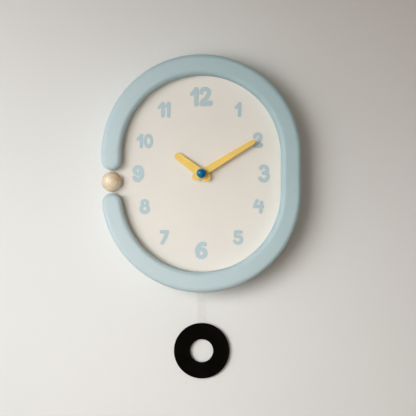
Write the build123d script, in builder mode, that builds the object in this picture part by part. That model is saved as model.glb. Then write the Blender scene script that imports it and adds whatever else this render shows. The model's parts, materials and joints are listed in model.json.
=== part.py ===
from build123d import *
from math import atan2, cos, degrees, pi, radians, sin
import os

# A pendulum wall clock in millimetres: a C-shaped frame whose two arms hold a turned wooden ball,
# a recessed dial with raised numerals, a quartz pendulum movement, and a ring bob on a clear rod.
# X points to the viewer's right, Y into the wall and Z up. The wall's face is Y = 0, and the origin is
# the centre of the hanging hole. A depth called "out" is measured from the wall towards the viewer,
# and x and z are measured from the dial's centre, which hangs dial_drop below the hanging hole.

# Driving dimensions
dial_drop = 126.0
frame_width = 252.0
frame_height = 300.0
band_width = 25.4
frame_back = 0.8
frame_front = 48.0
edge_round = 6.0
shell_wall = 2.5
upper_arm_z = 16.6
lower_arm_angle = 6.9
dial_back = 26.5
dial_front = 30.5
numeral_height = 0.6
ball_radius = 13.0
ball_z = -10.5
ball_out = 34.0
pendulum_pivot_z = 43.0
pendulum_length = 272.0
bob_outer_radius = 36.0
bob_inner_radius = 15.0
case_width = 56.0
case_height = 78.0
case_centre_z = 11.0
case_back = 9.5
case_split = 17.0
case_front = 25.5
minute_hand_angle = 31.4
hour_hand_angle = 143.7

# Sizes that follow
band_half = band_width / 2
path_radius = frame_width / 2 - band_half
straight_half = (frame_height - frame_width) / 2
nest_radius = path_radius + 0.3
ball_x = -path_radius
running_gap = 0.1


def spot(x, out, z):
    """A point in the row's frame, from the dial's centre and the distance out from the wall."""
    return (x, -out, z - dial_drop)


def out_plane(out, x=0.0, z=0.0, angle=0.0):
    """A plane facing the viewer, its local x turned anticlockwise by the angle as the viewer sees it."""
    along = (cos(radians(angle)), 0, sin(radians(angle)))
    return Plane(origin=spot(x, out, z), x_dir=along, z_dir=(0, -1, 0))


def polar(radius, angle, x=0.0, z=0.0):
    """The point at this radius and angle from (x, z), as the viewer sees it."""
    return (x + radius * cos(radians(angle)), z + radius * sin(radians(angle)))


def rim_spots(radius, upper_angles, lower_angles):
    """Points and angles round a stadium: on its upper arc, then on its lower arc."""
    upper = [(*polar(radius, angle, 0, straight_half), angle) for angle in upper_angles]
    lower = [(*polar(radius, angle, 0, -straight_half), angle) for angle in lower_angles]
    return upper + lower


def stadium(half_width, mode=Mode.ADD):
    """An upright slot round the dial's centre, concentric with the frame."""
    SlotCenterToCenter(2 * straight_half, 2 * half_width, rotation=90, mode=mode)


def points_of(rim):
    """The points of a set of rim spots, without their angles."""
    return [(x, z) for x, z, _ in rim]


def round_holes(points, radius, mode=Mode.ADD):
    """A circle on each of these points, in the sketch being drawn."""
    with Locations(*points):
        Circle(radius, mode=mode)


def cross_slots(points, length, width):
    """The crossed driver slots in a screw's head, on each of these points."""
    with Locations(*points):
        Rectangle(length, width)
        Rectangle(width, length)


def save(builder, label):
    builder.part.label = label
    export_step(builder.part, f"parts/{label}.step")


os.makedirs("parts", exist_ok=True)

# ---------------------------------------------------------------- frame
# The middle line of the C runs from the lower arm's end round the bottom, right and top to the upper arm's end.
with BuildLine() as arm_line:
    lower_arc = CenterArc((0, -straight_half), path_radius, 180 + lower_arm_angle, 180 - lower_arm_angle)
    right_side = Line(lower_arc @ 1, (path_radius, straight_half))
    upper_arc = CenterArc((0, straight_half), path_radius, 0, 180)
    Line(upper_arc @ 1, (-path_radius, upper_arm_z))
arm_wire = arm_line.wires()[0]

ledge_front = dial_front + shell_wall
inner_front = frame_front - shell_wall
cover_thickness = 2.0
cover_lip = 1.35
cover_gap = 0.15
cover_front = frame_back + cover_thickness
pad_half = 25.0
pad_front = 11.0
swing_half = 28.0
swing_front = 9.5
swing_roof = swing_front + shell_wall
swing_wall_half = swing_half + shell_wall
mask_height = 80.0
channel_radius = (nest_radius + frame_width / 2) / 2
cover_screw_rim = rim_spots(channel_radius, (5, 38, 72, 108, 142, 176), (-5, -38, -70, 250, 222, 197))
cover_screw_spots = points_of(cover_screw_rim)
bumper_spots = points_of(rim_spots(channel_radius, (55, 125), (-54, 236)))
dial_screw_spots = points_of(rim_spots(path_radius - 5, (20, 60, 120, 160), (-20, -60, 240, 205)))
post_radius = 3.0
post_overlap = 0.5
rib_length = 8.4
rib_thickness = 1.6
screw_clearance = 0.05
cover_screw_radius = 0.9
cover_screw_length = 11.0
dial_screw_radius = 1.1
dial_screw_length = 11.5
dial_thickness = dial_front - dial_back


def outer_band(half_width, inner_radius):
    """The C's band with the dial's nest taken out of it, which leaves the outer half of the band."""
    SlotArc(arm_wire, 2 * half_width)
    stadium(inner_radius, mode=Mode.SUBTRACT)


def cover_area(gap):
    """The rear rebate between the hanger pad and the pendulum's notch, smaller all round by the gap."""
    outer_band(band_half - cover_lip - gap, nest_radius + cover_lip + gap)
    with Locations((0, frame_height / 2)):
        Rectangle(2 * (pad_half + gap), mask_height, mode=Mode.SUBTRACT)
    with Locations((0, -frame_height / 2)):
        Rectangle(2 * (swing_wall_half + gap), mask_height, mode=Mode.SUBTRACT)


with BuildPart() as frame_hollow:
    with BuildSketch(out_plane(ledge_front)):
        SlotArc(arm_wire, band_width - 2 * shell_wall)
    extrude(amount=inner_front - ledge_front)
    fillet(frame_hollow.faces().sort_by(Axis.Y)[0].edges(), edge_round - shell_wall)
    with BuildSketch(out_plane(frame_back)):
        outer_band(band_half - shell_wall, nest_radius + shell_wall)
    extrude(amount=ledge_front - frame_back)

hanger_width = 44.0
hanger_bottom = 118.0
hanger_top = 147.0
hanger_thickness = 1.5
hanger_middle = (hanger_bottom + hanger_top) / 2
hanger_hole_radius = 3.2
hanger_screw_spots = [(-15.0, 142.4), (15.0, 142.4)]
hanger_screw_radius = 1.4
hanger_screw_length = 8.0
hanger_corner = 4.0
hanger_gap = 0.2

with BuildPart() as frame_shell:
    with BuildSketch(out_plane(dial_front)):
        SlotArc(arm_wire, band_width)
    extrude(amount=frame_front - dial_front)
    fillet(frame_shell.faces().sort_by(Axis.Y)[0].edges(), edge_round)
    with BuildSketch(out_plane(frame_back)):
        outer_band(band_half, nest_radius)
    extrude(amount=dial_front - frame_back)
    add(frame_hollow.part, mode=Mode.SUBTRACT)
    # posts for the cover screws stand on the front wall, each tied to both side walls by a rib
    with BuildSketch(out_plane(cover_front)):
        for x, z, angle in cover_screw_rim:
            with Locations(Location((x, z), angle)):
                Circle(post_radius)
                Rectangle(rib_length, rib_thickness)
    extrude(amount=inner_front + post_overlap - cover_front)
    with BuildSketch(out_plane(ledge_front - post_overlap)):
        round_holes(dial_screw_spots, post_radius)
    extrude(amount=inner_front + 2 * post_overlap - ledge_front)
    # a solid pad behind the top for the hanger, and a roofed notch at the bottom for the swinging rod
    with BuildSketch(out_plane(frame_back)):
        outer_band(band_half, nest_radius)
        with Locations((0, frame_height / 2)):
            Rectangle(2 * pad_half, mask_height, mode=Mode.INTERSECT)
    extrude(amount=pad_front - frame_back)
    with BuildSketch(out_plane(frame_back)):
        outer_band(band_half, nest_radius)
        with Locations((0, -frame_height / 2)):
            Rectangle(2 * swing_wall_half, mask_height, mode=Mode.INTERSECT)
    extrude(amount=swing_roof - frame_back)
    with BuildSketch(out_plane(0)):
        with Locations((0, -frame_height / 2)):
            Rectangle(2 * swing_half, mask_height)
    extrude(amount=swing_front, mode=Mode.SUBTRACT)
    with BuildSketch(out_plane(frame_back)):
        cover_area(0)
    extrude(amount=cover_thickness, mode=Mode.SUBTRACT)
    with BuildSketch(out_plane(0, 0, hanger_middle)):
        RectangleRounded(
            hanger_width + 2 * hanger_gap,
            hanger_top - hanger_bottom + 2 * hanger_gap,
            hanger_corner + hanger_gap,
        )
    extrude(amount=hanger_thickness, mode=Mode.SUBTRACT)
    with BuildSketch(out_plane(cover_front)):
        round_holes(cover_screw_spots, cover_screw_radius + screw_clearance)
    extrude(amount=cover_screw_length, mode=Mode.SUBTRACT)
    with BuildSketch(out_plane(dial_front)):
        round_holes(dial_screw_spots, dial_screw_radius + screw_clearance)
    extrude(amount=dial_screw_length - dial_thickness + post_overlap, mode=Mode.SUBTRACT)
    with BuildSketch(out_plane(hanger_thickness)):
        round_holes(hanger_screw_spots, hanger_screw_radius + screw_clearance)
    extrude(amount=hanger_screw_length + post_overlap, mode=Mode.SUBTRACT)
save(frame_shell, "frame_shell")

# Three rear covers close the hollow, each with counterbored screw holes and holes for the bumpers' stems.
bumper_stem_radius = 1.9
bumper_radius = 4.5
cover_counterbore_radius = 2.0
cover_counterbore_depth = 1.1
head_sink = 0.1
cover_parts = {
    "rear_cover_right": (100, 0, 200, 400),
    "rear_cover_upper_left": (-100, 100, 200, 200),
    "rear_cover_lower_left": (-100, -100, 200, 200),
}
for cover_name, (mask_x, mask_z, mask_wide, mask_high) in cover_parts.items():
    with BuildPart() as rear_cover:
        with BuildSketch(out_plane(frame_back)):
            cover_area(cover_gap)
            round_holes(cover_screw_spots, cover_screw_radius + 3 * screw_clearance, Mode.SUBTRACT)
            round_holes(bumper_spots, bumper_stem_radius + screw_clearance, Mode.SUBTRACT)
            with Locations((mask_x, mask_z)):
                Rectangle(mask_wide, mask_high, mode=Mode.INTERSECT)
        extrude(amount=cover_thickness)
        with BuildSketch(out_plane(frame_back)):
            round_holes(cover_screw_spots, cover_counterbore_radius)
        extrude(amount=cover_counterbore_depth, mode=Mode.SUBTRACT)
    save(rear_cover, cover_name)

with BuildPart() as cover_screws:
    with BuildSketch(out_plane(frame_back + head_sink)):
        round_holes(cover_screw_spots, cover_counterbore_radius - 3 * screw_clearance)
    extrude(amount=cover_counterbore_depth - head_sink)
    with BuildSketch(out_plane(frame_back + cover_counterbore_depth)):
        round_holes(cover_screw_spots, cover_screw_radius)
    extrude(amount=cover_screw_length)
    with BuildSketch(out_plane(frame_back + head_sink)):
        cross_slots(cover_screw_spots, 2.2, 0.5)
    extrude(amount=0.6, mode=Mode.SUBTRACT)
save(cover_screws, "cover_screws")

with BuildPart() as wall_bumpers:
    with BuildSketch(out_plane(0)):
        round_holes(bumper_spots, bumper_radius)
    extrude(amount=frame_back)
    with BuildSketch(out_plane(frame_back)):
        round_holes(bumper_spots, bumper_stem_radius)
    extrude(amount=cover_thickness)
save(wall_bumpers, "wall_bumpers")

# ---------------------------------------------------------------- hanger
countersink_radius = 2.9

with BuildPart() as hanger_plate:
    with BuildSketch(out_plane(0, 0, hanger_middle)):
        RectangleRounded(hanger_width, hanger_top - hanger_bottom, hanger_corner)
    extrude(amount=hanger_thickness)
    with BuildSketch(out_plane(0)):
        round_holes([(0, dial_drop)], hanger_hole_radius)
        round_holes(hanger_screw_spots, hanger_screw_radius + 2 * screw_clearance)
    extrude(amount=hanger_thickness, mode=Mode.SUBTRACT)
    with BuildSketch(out_plane(0)):
        round_holes(hanger_screw_spots, countersink_radius)
    extrude(amount=hanger_thickness, taper=45, mode=Mode.SUBTRACT)
save(hanger_plate, "hanger_plate")

with BuildPart() as hanger_screws:
    with BuildSketch(out_plane(screw_clearance)):
        round_holes(hanger_screw_spots, countersink_radius - 2 * screw_clearance)
    extrude(amount=hanger_thickness - 2 * screw_clearance, taper=45)
    with BuildSketch(out_plane(hanger_thickness - 0.2)):
        round_holes(hanger_screw_spots, hanger_screw_radius)
    extrude(amount=hanger_screw_length)
    with BuildSketch(out_plane(screw_clearance)):
        cross_slots(hanger_screw_spots, 3.2, 0.7)
    extrude(amount=0.9, mode=Mode.SUBTRACT)
save(hanger_screws, "hanger_screws")

# ---------------------------------------------------------------- dial
bushing_radius = 4.0
notch_radius = ball_radius + 0.6
bracket_screw_spots = [(-85.5, ball_z - 3.5), (-85.5, ball_z + 3.5)]
bracket_screw_radius = 1.2
dial_screw_head_radius = 2.3
dial_screw_head_height = 1.6

with BuildPart() as dial_plate:
    with BuildSketch(out_plane(dial_back)):
        stadium(path_radius)
        Circle(bushing_radius + 0.15, mode=Mode.SUBTRACT)
        with Locations((ball_x, ball_z)):
            Circle(notch_radius, mode=Mode.SUBTRACT)
        round_holes(dial_screw_spots, dial_screw_radius + 4 * screw_clearance, Mode.SUBTRACT)
    extrude(amount=dial_thickness)
    with BuildSketch(out_plane(dial_back)):
        round_holes(bracket_screw_spots, bracket_screw_radius + screw_clearance)
    extrude(amount=dial_thickness - 0.8, mode=Mode.SUBTRACT)
save(dial_plate, "dial_plate")

with BuildPart() as dial_screws:
    with BuildSketch(out_plane(dial_back - dial_screw_head_height)):
        round_holes(dial_screw_spots, dial_screw_head_radius)
    extrude(amount=dial_screw_head_height)
    fillet(dial_screws.faces().group_by(Axis.Y)[-1].edges(), 0.6)
    with BuildSketch(out_plane(dial_back)):
        round_holes(dial_screw_spots, dial_screw_radius)
    extrude(amount=dial_screw_length)
    with BuildSketch(out_plane(dial_back - dial_screw_head_height)):
        cross_slots(dial_screw_spots, 2.6, 0.6)
    extrude(amount=0.9, mode=Mode.SUBTRACT)
save(dial_screws, "dial_screws")


# ---------------------------------------------------------------- numerals
# Each digit is drawn with round-ended strokes about its own middle.
def line_stroke(width, *points):
    """Straight round-ended strokes from each point to the next."""
    for start, end in zip(points, points[1:]):
        run = Vector(*end) - Vector(*start)
        with Locations((Vector(*start) + Vector(*end)) / 2):
            SlotCenterToCenter(run.length, width, rotation=degrees(atan2(run.Y, run.X)))


def arc_stroke(width, start, middle, end):
    """A curved round-ended stroke through three points."""
    SlotArc(Edge.make_three_point_arc(start, middle, end), width)


def digit_zero():
    Ellipse(6.1, 9.3)
    Ellipse(2.0, 4.3, mode=Mode.SUBTRACT)


def digit_one(half_height, width, flag_x, flag_drop, flag_width):
    line_stroke(width, (0.1, half_height), (-0.1, -half_height))
    line_stroke(flag_width, (0, half_height), (flag_x, half_height - flag_drop))


def digit_two(size, width, base_width, base_end):
    """The two of the 12 at size 1, and smaller for the two alone."""
    arc_stroke(width, (-4.7 * size, 5.1 * size), (-3.4 * size, 8.6 * size), (0.4 * size, 9.7 * size))
    arc_stroke(width, (0.4 * size, 9.7 * size), (4.3 * size, 7.7 * size), (4.0 * size, 2.6 * size))
    arc_stroke(width, (4.0 * size, 2.6 * size), (0.6 * size, -2.8 * size), (-3.9 * size, -7.9 * size))
    line_stroke(width, (-2.6 * size, -5.0 * size), (-3.9 * size, -8.2 * size))
    line_stroke(base_width, (-3.9 * size, -8.8 * size), (base_end * size, -8.3 * size))


def digit_three():
    width = 5.3
    arc_stroke(width, (-4.1, 6.8), (-2.6, 8.6), (0.2, 8.9))
    arc_stroke(width, (0.2, 8.9), (4.0, 5.6), (-0.5, 0.6))
    arc_stroke(width, (-0.5, 0.6), (4.3, -0.8), (5.0, -4.2))
    arc_stroke(width, (5.0, -4.2), (0.2, -8.9), (-4.9, -6.3))


def digit_four():
    width = 4.4
    line_stroke(width, (-1.7, 7.2), (-4.6, 0.6))
    line_stroke(width, (-4.9, -0.4), (5.0, -0.3))
    line_stroke(width, (3.9, 4.9), (2.7, -7.2))


def digit_five():
    width = 4.5
    line_stroke(width, (3.3, 7.1), (-3.3, 7.1), (-3.4, 1.5))
    line_stroke(width, (-3.4, 1.5), (0.4, 1.4))
    arc_stroke(width, (0.4, 1.4), (4.2, -2.9), (-0.2, -7.1))
    arc_stroke(width, (-0.2, -7.1), (-2.6, -6.5), (-4.4, -4.4))


def digit_six():
    width = 5.5
    arc_stroke(width, (4.4, 5.2), (2.9, 6.1), (1.2, 6.1))
    arc_stroke(width, (1.2, 6.1), (-3.6, 2.7), (-5.2, -4.6))
    with Locations((0.1, -5.9)):
        Ellipse(7.8, 7.6)
        Ellipse(2.1, 2.6, mode=Mode.SUBTRACT)


def digit_seven():
    width = 4.8
    line_stroke(width, (-3.7, 7.0), (3.6, 7.0))
    arc_stroke(width, (3.6, 7.0), (1.4, 0.8), (-2.8, -7.0))


def digit_eight():
    with Locations((0, 3.6)):
        Circle(5.6)
    with Locations((0, -3.4)):
        Circle(6.8)
    with Locations((0, 3.6)):
        Ellipse(1.05, 1.4, mode=Mode.SUBTRACT)
    with Locations((0, -3.0)):
        Ellipse(2.1, 2.0, mode=Mode.SUBTRACT)


def digit_nine():
    width = 5.2
    with Locations((-0.4, 5.9)):
        Ellipse(7.0, 6.9)
        Ellipse(1.7, 1.9, mode=Mode.SUBTRACT)
    arc_stroke(width, (4.3, 4.4), (4.0, -2.9), (0.4, -6.3))
    arc_stroke(width, (0.4, -6.3), (-2.5, -5.9), (-4.6, -3.2))


def numeral_ten():
    with Locations((-4.3, 0)):
        digit_one(7.2, 4.4, -4.5, 5.2, 4.0)
    with Locations((4.7, -0.1)):
        digit_zero()


def numeral_eleven():
    with Locations((-1.3, 0)):
        digit_one(7.9, 4.7, -4.7, 5.3, 4.1)
    with Locations((6.0, 0)):
        digit_one(7.9, 4.7, -2.5, 3.5, 4.1)


def numeral_twelve():
    with Locations((-6.3, 0)):
        digit_one(10.0, 5.2, -5.5, 6.7, 4.9)
    with Locations((5.0, 0)):
        digit_two(1.0, 5.6, 7.0, 6.4)


def numeral_one():
    with Locations((2.2, 0)):
        digit_one(7.4, 4.4, -4.4, 5.0, 3.9)


def numeral_two():
    with Locations((-0.4, 0.1)):
        digit_two(0.78, 4.8, 6.0, 5.2)


numerals = {
    "1": (numeral_one, 46.2, 81.6),
    "2": (numeral_two, 71.8, 42.5),
    "3": (digit_three, 79.5, 0.2),
    "4": (digit_four, 72.5, -41.4),
    "5": (digit_five, 46.6, -81.2),
    "6": (digit_six, -0.1, -95.2),
    "7": (digit_seven, -47.1, -81.0),
    "8": (digit_eight, -72.1, -41.3),
    "9": (digit_nine, -80.6, -1.9),
    "10": (numeral_ten, -72.1, 41.6),
    "11": (numeral_eleven, -47.7, 81.4),
    "12": (numeral_twelve, -0.4, 97.9),
}
for number, (draw, x, z) in numerals.items():
    with BuildPart() as numeral:
        with BuildSketch(out_plane(dial_front, x, z)):
            draw()
        extrude(amount=numeral_height)
    save(numeral, f"numeral_{number}")

# ---------------------------------------------------------------- ball and its bracket
ball_flat = 11.5
seat_front = ball_out - ball_flat
bracket_thickness = 1.5
bracket_height = 12.0
bracket_left = ball_x - 7
bracket_web = -95.5
bracket_right = -80.0
bracket_bend = 2.5
ball_screw_radius = 1.5
ball_screw_reach = 10.0

with BuildPart() as wooden_ball:
    with Locations(spot(ball_x, ball_out, ball_z)):
        Sphere(ball_radius)
    with BuildSketch(out_plane(seat_front, ball_x, ball_z)):
        Circle(ball_radius)
    extrude(amount=-ball_radius, mode=Mode.SUBTRACT)
    with BuildSketch(out_plane(seat_front, ball_x, ball_z)):
        Circle(ball_screw_radius + screw_clearance)
    extrude(amount=ball_screw_reach + 0.5, mode=Mode.SUBTRACT)
save(wooden_ball, "wooden_ball")

with BuildPart() as ball_bracket:
    with BuildSketch(Plane.XY.offset(ball_z - dial_drop - bracket_height / 2)):
        with BuildLine():
            Polyline(
                (bracket_left, -seat_front + bracket_thickness),
                (bracket_web, -seat_front + bracket_thickness),
                (bracket_web, -dial_back + bracket_thickness),
                (bracket_right, -dial_back + bracket_thickness),
                (bracket_right, -dial_back),
                (bracket_web - bracket_thickness, -dial_back),
                (bracket_web - bracket_thickness, -seat_front),
                (bracket_left, -seat_front),
                close=True,
            )
        make_face()
    extrude(amount=bracket_height)
    corners = ball_bracket.edges().filter_by(Axis.Y).filter_by(lambda edge: edge.length < 2 * bracket_thickness)
    fillet(corners, bracket_bend)
    with BuildSketch(out_plane(seat_front)):
        round_holes([(ball_x, ball_z)], ball_screw_radius + 2 * screw_clearance)
    extrude(amount=-2 * bracket_thickness, mode=Mode.SUBTRACT)
    with BuildSketch(out_plane(dial_back)):
        round_holes(bracket_screw_spots, bracket_screw_radius + 2 * screw_clearance)
    extrude(amount=-2 * bracket_thickness, mode=Mode.SUBTRACT)
save(ball_bracket, "ball_bracket")

with BuildPart() as bracket_screws:
    with BuildSketch(out_plane(seat_front - bracket_thickness, ball_x, ball_z)):
        Circle(2.8)
    extrude(amount=-1.8)
    with BuildSketch(out_plane(dial_back - bracket_thickness)):
        round_holes(bracket_screw_spots, 2.1)
    extrude(amount=-1.5)
    fillet(bracket_screws.faces().filter_by(GeomType.PLANE).group_by(Axis.Y)[-1].edges(), 0.6)
    with BuildSketch(out_plane(seat_front - bracket_thickness, ball_x, ball_z)):
        Circle(ball_screw_radius)
    extrude(amount=bracket_thickness + ball_screw_reach)
    with BuildSketch(out_plane(dial_back - bracket_thickness)):
        round_holes(bracket_screw_spots, bracket_screw_radius)
    extrude(amount=bracket_thickness + dial_thickness - 1)
save(bracket_screws, "bracket_screws")

# ---------------------------------------------------------------- movement case
case_wall = 1.4
front_wall = 1.1
case_inner_half = case_width / 2 - case_wall
post_spots = [(-23.0, -5.0), (23.0, -5.0), (-23.0, 22.0), (23.0, 22.0)]
case_post_radius = 2.3
case_screw_radius = 0.85
case_screw_length = 11.0
case_corner = 3.0
boss_overlap = 0.5
inner_corner = case_corner - case_wall
board_peg_spots = [(-20, 30), (20, 30), (-20, 43), (20, 43)]
board_peg_radius = 1.5
pivot_boss_radius = 3.5
pivot_boss_height = 4.5
case_counterbore_radius = 1.8
case_counterbore_depth = 1.0
pivot_pin_radius = 1.0
bearing_radius = 0.5
bearing_depth = 1.6
setting_arbor_radius = 1.5
battery_radius = 7.0
battery_length = 49.5
battery_z = -18.6
battery_out = 17.2
partition_bottom = -11.3
partition_top = -10.4
mid_plate_back = 16.2
mid_plate_front = 17.4
board_back = 11.6
board_front = 12.6
coil_z = 32.0
strip_thickness = 0.4
strip_inner = case_inner_half - strip_thickness - 0.1

# Wheel work: every centre distance here and tooth count further on, and the modules follow from them.
motion_distance = 10.0
minute_work_angle = 30.0
minute_work_spot = polar(motion_distance, minute_work_angle)
setting_angle = -10.0
setting_spot = polar(motion_distance, setting_angle, *minute_work_spot)
third_angle = 165.0
third_distance = 10.8
third_spot = polar(third_distance, third_angle)
intermediate_angle = 50.0
intermediate_distance = 8.75
intermediate_spot = polar(intermediate_distance, intermediate_angle)
rotor_angle = 80.0
rotor_distance = 6.6
rotor_spot = polar(rotor_distance, rotor_angle, *intermediate_spot)

# The wheels' layers, each measured out to the back of its wheel. A pinion stands past its wheel on both sides.
seconds_layer = 12.6
third_layer = 14.4
centre_layer = 18.1
minute_layer = 19.4
hour_layer = 21.6
web_thickness = 0.8
motion_thickness = 1.0
pinion_margin = 0.2
# Where the arbors' pivots end and their shoulders begin, in the rear case and in the mid plate
rear_tip = 10.2
rear_shoulder = 11.1
front_shoulder = 15.9
front_tip = 17.2
arbor_thick = 0.8
pivot_thin = 0.45

with BuildPart() as movement_rear_case:
    with BuildSketch(out_plane(case_back, 0, case_centre_z)):
        RectangleRounded(case_width, case_height, case_corner)
    extrude(amount=case_split - case_back)
    with BuildSketch(out_plane(case_back + case_wall, 0, case_centre_z)):
        RectangleRounded(case_width - 2 * case_wall, case_height - 2 * case_wall, inner_corner)
    extrude(amount=case_split, mode=Mode.SUBTRACT)
    # screw posts, board pegs, the pendulum's pin boss and the battery bay's partition
    with BuildSketch(out_plane(case_back + case_wall)):
        round_holes(post_spots, case_post_radius)
    extrude(amount=mid_plate_back - case_back - case_wall)
    with BuildSketch(out_plane(case_back + case_wall)):
        round_holes(board_peg_spots, board_peg_radius)
    extrude(amount=board_back - case_back - case_wall)
    with BuildSketch(out_plane(case_back, 0, pendulum_pivot_z)):
        Circle(pivot_boss_radius)
    extrude(amount=pivot_boss_height)
    with BuildSketch(out_plane(case_back, 0, (partition_bottom + partition_top) / 2)):
        Rectangle(2 * strip_inner - 0.2, partition_top - partition_bottom)
    extrude(amount=case_front - front_wall - 0.2 - case_back)
    with BuildSketch(out_plane(case_back)):
        round_holes(post_spots, case_screw_radius + 2 * screw_clearance)
        round_holes([(0, pendulum_pivot_z)], pivot_pin_radius)
        round_holes([setting_spot], setting_arbor_radius + running_gap)
    extrude(amount=case_split - case_back, mode=Mode.SUBTRACT)
    with BuildSketch(out_plane(case_back)):
        round_holes(post_spots, case_counterbore_radius)
    extrude(amount=case_counterbore_depth, mode=Mode.SUBTRACT)
    with BuildSketch(out_plane(case_back, 0, battery_z)):
        Rectangle(2 * case_inner_half - 1.2, 2 * battery_radius + 0.4)
    extrude(amount=case_wall, mode=Mode.SUBTRACT)
    # blind bearings for the rear pivots of the rotor, the intermediate, third and seconds arbors
    with BuildSketch(out_plane(case_back + 0.5)):
        round_holes([(0, 0), rotor_spot, intermediate_spot, third_spot], bearing_radius)
    extrude(amount=case_wall, mode=Mode.SUBTRACT)
save(movement_rear_case, "movement_rear_case")

bushing_front = 32.6
pipe_radius = 2.5
nut_thickness = 1.8
minute_work_post_back = 19.2
minute_work_post_radius = 0.75
third_boss_back = 19.6
third_boss_radius = 1.4
setting_boss_back = 21.4
setting_boss_radius = 1.8
setting_tip_radius = 0.75
boss_front = case_front - boss_overlap

with BuildPart() as movement_front_case:
    with BuildSketch(out_plane(case_split, 0, case_centre_z)):
        RectangleRounded(case_width, case_height, case_corner)
    extrude(amount=case_front - case_split)
    fillet(movement_front_case.faces().sort_by(Axis.Y)[0].edges(), 1)
    with BuildSketch(out_plane(case_split, 0, case_centre_z)):
        RectangleRounded(case_width - 2 * case_wall, case_height - 2 * case_wall, inner_corner)
    extrude(amount=case_front - front_wall - case_split, mode=Mode.SUBTRACT)
    with BuildSketch(out_plane(mid_plate_front)):
        round_holes(post_spots, case_post_radius)
    extrude(amount=boss_front - mid_plate_front)
    with BuildSketch(out_plane(boss_front)):
        Circle(bushing_radius)
    extrude(amount=bushing_front - boss_front)
    with BuildSketch(out_plane(minute_work_post_back, *minute_work_spot)):
        Circle(minute_work_post_radius)
    extrude(amount=boss_front - minute_work_post_back)
    with BuildSketch(out_plane(third_boss_back, *third_spot)):
        Circle(third_boss_radius)
    extrude(amount=boss_front - third_boss_back)
    with BuildSketch(out_plane(third_boss_back, *third_spot)):
        Circle(bearing_radius)
    extrude(amount=bearing_depth, mode=Mode.SUBTRACT)
    with BuildSketch(out_plane(case_split)):
        Circle(pipe_radius + running_gap)
    extrude(amount=bushing_front - case_split, mode=Mode.SUBTRACT)
    with BuildSketch(out_plane(mid_plate_front)):
        round_holes(post_spots, case_screw_radius + screw_clearance)
    extrude(amount=5, mode=Mode.SUBTRACT)
    # the setting arbor's front bearing
    with BuildSketch(out_plane(setting_boss_back, *setting_spot)):
        Circle(setting_boss_radius)
    extrude(amount=boss_front - setting_boss_back)
    with BuildSketch(out_plane(setting_boss_back, *setting_spot)):
        Circle(setting_tip_radius + screw_clearance)
    extrude(amount=bearing_depth, mode=Mode.SUBTRACT)
save(movement_front_case, "movement_front_case")

with BuildPart() as movement_screws:
    with BuildSketch(out_plane(case_back + head_sink)):
        round_holes(post_spots, case_counterbore_radius - 2 * screw_clearance)
    extrude(amount=case_counterbore_depth - head_sink)
    with BuildSketch(out_plane(case_back + case_counterbore_depth)):
        round_holes(post_spots, case_screw_radius)
    extrude(amount=case_screw_length)
    with BuildSketch(out_plane(case_back + head_sink)):
        cross_slots(post_spots, 2.0, 0.45)
    extrude(amount=0.5, mode=Mode.SUBTRACT)
save(movement_screws, "movement_screws")

with BuildPart() as mid_plate:
    with BuildSketch(out_plane(mid_plate_back, 0, 8)):
        RectangleRounded(51.6, 33.6, 2)
    extrude(amount=mid_plate_front - mid_plate_back)
    with BuildSketch(out_plane(mid_plate_back)):
        round_holes(post_spots, case_screw_radius + 2 * screw_clearance)
        round_holes([third_spot], 1.9)
        round_holes([setting_spot], setting_arbor_radius + running_gap)
        round_holes([(0, 0), intermediate_spot, rotor_spot], bearing_radius)
    extrude(amount=mid_plate_front - mid_plate_back, mode=Mode.SUBTRACT)
save(mid_plate, "mid_plate")

# ---------------------------------------------------------------- electrics
coil_flange_radius = 6.0
coil_winding_radius = 5.6
coil_flange = 0.8
coil_length = 4.8
coil_back = case_back + case_wall

with BuildPart() as circuit_board:
    with BuildSketch(out_plane(board_back, 0, 36.2)):
        RectangleRounded(48, 19.5, 1)
    extrude(amount=board_front - board_back)
    with BuildSketch(out_plane(board_back)):
        round_holes([(0, coil_z)], coil_flange_radius + 0.3)
        round_holes([(0, pendulum_pivot_z)], pivot_boss_radius + 0.3)
    extrude(amount=board_front - board_back, mode=Mode.SUBTRACT)
save(circuit_board, "circuit_board")

crystal_radius = 1.0
crystal_length = 6.0
crystal_left = 10.0
crystal_out = board_front + crystal_radius + 0.05
crystal_z = 42.0
crystal_lead_length = 1.0
crystal_lead_gap = 0.8

with BuildPart() as quartz_crystal:
    with BuildSketch(Plane.YZ.offset(crystal_left)):
        with Locations((-crystal_out, crystal_z - dial_drop)):
            Circle(crystal_radius)
    extrude(amount=crystal_length)
    fillet(quartz_crystal.faces().sort_by(Axis.X)[-1].edges(), 0.3)
    with BuildSketch(Plane.YZ.offset(crystal_left - crystal_lead_length)):
        with Locations((-crystal_out, crystal_z - dial_drop)):
            with GridLocations(0, crystal_lead_gap, 1, 2):
                Circle(0.15)
    extrude(amount=crystal_lead_length)
save(quartz_crystal, "quartz_crystal")

with BuildPart() as clock_chip:
    with BuildSketch(out_plane(board_front, -15, 40)):
        Circle(3.6)
    extrude(amount=1.1)
    fillet(clock_chip.faces().sort_by(Axis.Y)[0].edges(), 1)
save(clock_chip, "clock_chip")

# The stepping motor's stator is one lamination: a pole piece round the rotor, two legs and a core through the coil.
stator_back = 13.0
stator_front = 13.8
core_z = 21.0
core_height = 2.4
core_out = (stator_back + stator_front) / 2
coil_left = -4.8
coil_right = 12.8
bobbin_cheek = 0.8

with BuildPart() as motor_stator:
    with BuildSketch(out_plane(stator_back)):
        with Locations((4, 12.8)):
            RectangleRounded(26, 7.6, 0.8)
        with Locations((-7, 17), (15, 17)):
            Rectangle(4, 10.4)
        with Locations((4, core_z)):
            Rectangle(26, core_height)
        with Locations(rotor_spot):
            Circle(3.1, mode=Mode.SUBTRACT)
    extrude(amount=stator_front - stator_back)
save(motor_stator, "motor_stator")

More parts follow.
